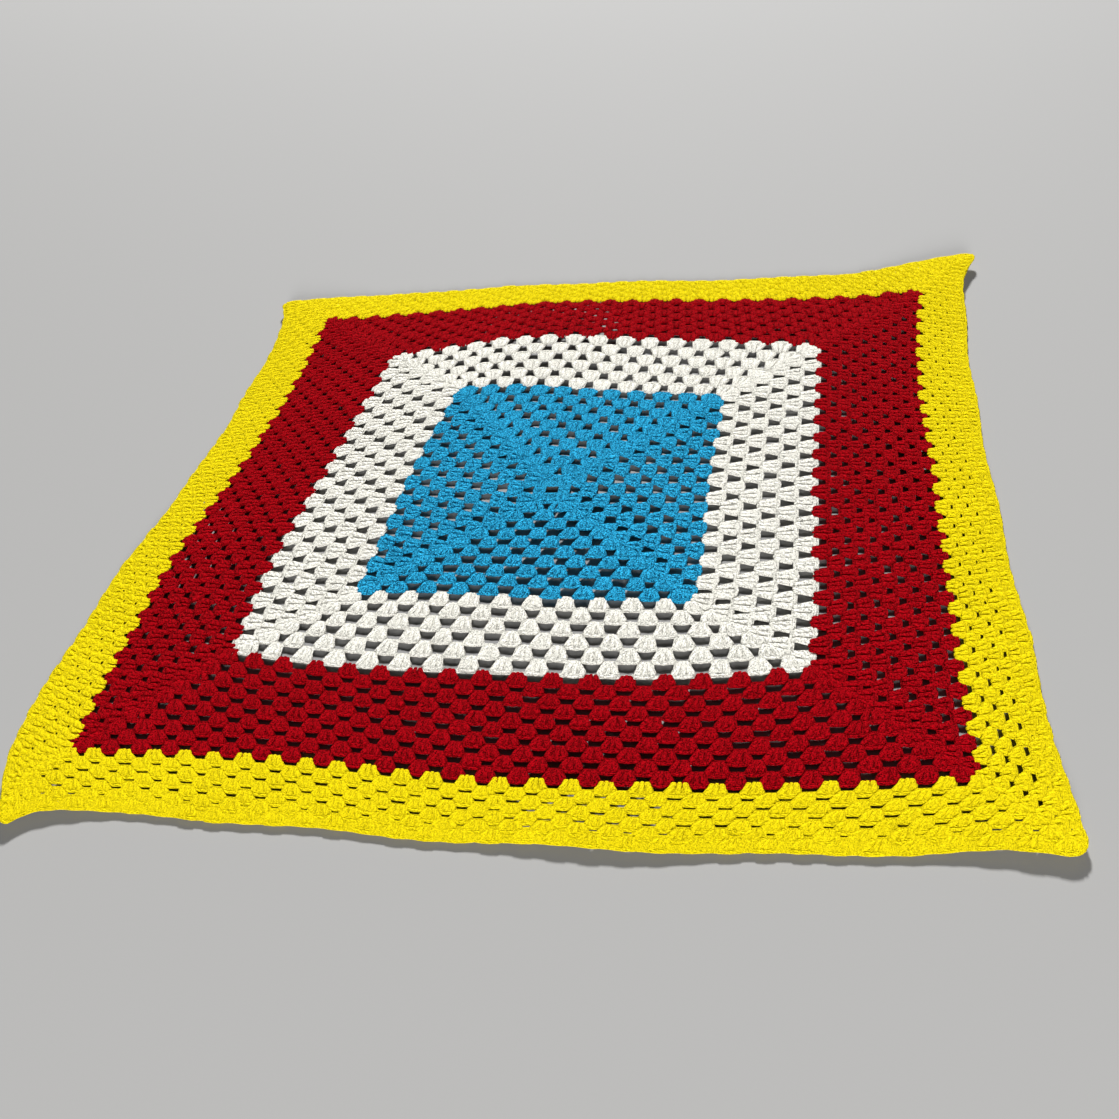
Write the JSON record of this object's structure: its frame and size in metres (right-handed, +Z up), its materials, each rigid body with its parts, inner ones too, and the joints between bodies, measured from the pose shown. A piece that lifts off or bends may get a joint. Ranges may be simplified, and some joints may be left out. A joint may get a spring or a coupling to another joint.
{
  "type": "crocheted granny square blanket",
  "caption": "Square crocheted blanket lying flat: one large granny square in blue, white, red and yellow bands, with gaps between its clusters and pulled-out corners.",
  "frame": {"origin": "on the surface that the blanket lies on, under the middle of its outline", "axes": "+Z up out of the cloth, +X along the side nearest the viewer, +Y away from the viewer"},
  "size_m": [0.8814, 0.8658, 0.013],
  "materials": {
    "yarn": "matt acrylic worsted yarn in four colours, by rounds from the centre: sky blue, cream white, crimson red, lemon yellow"
  },
  "bodies": {
    "root": {"blanket": "yarn"}
  },
  "joints": []
}
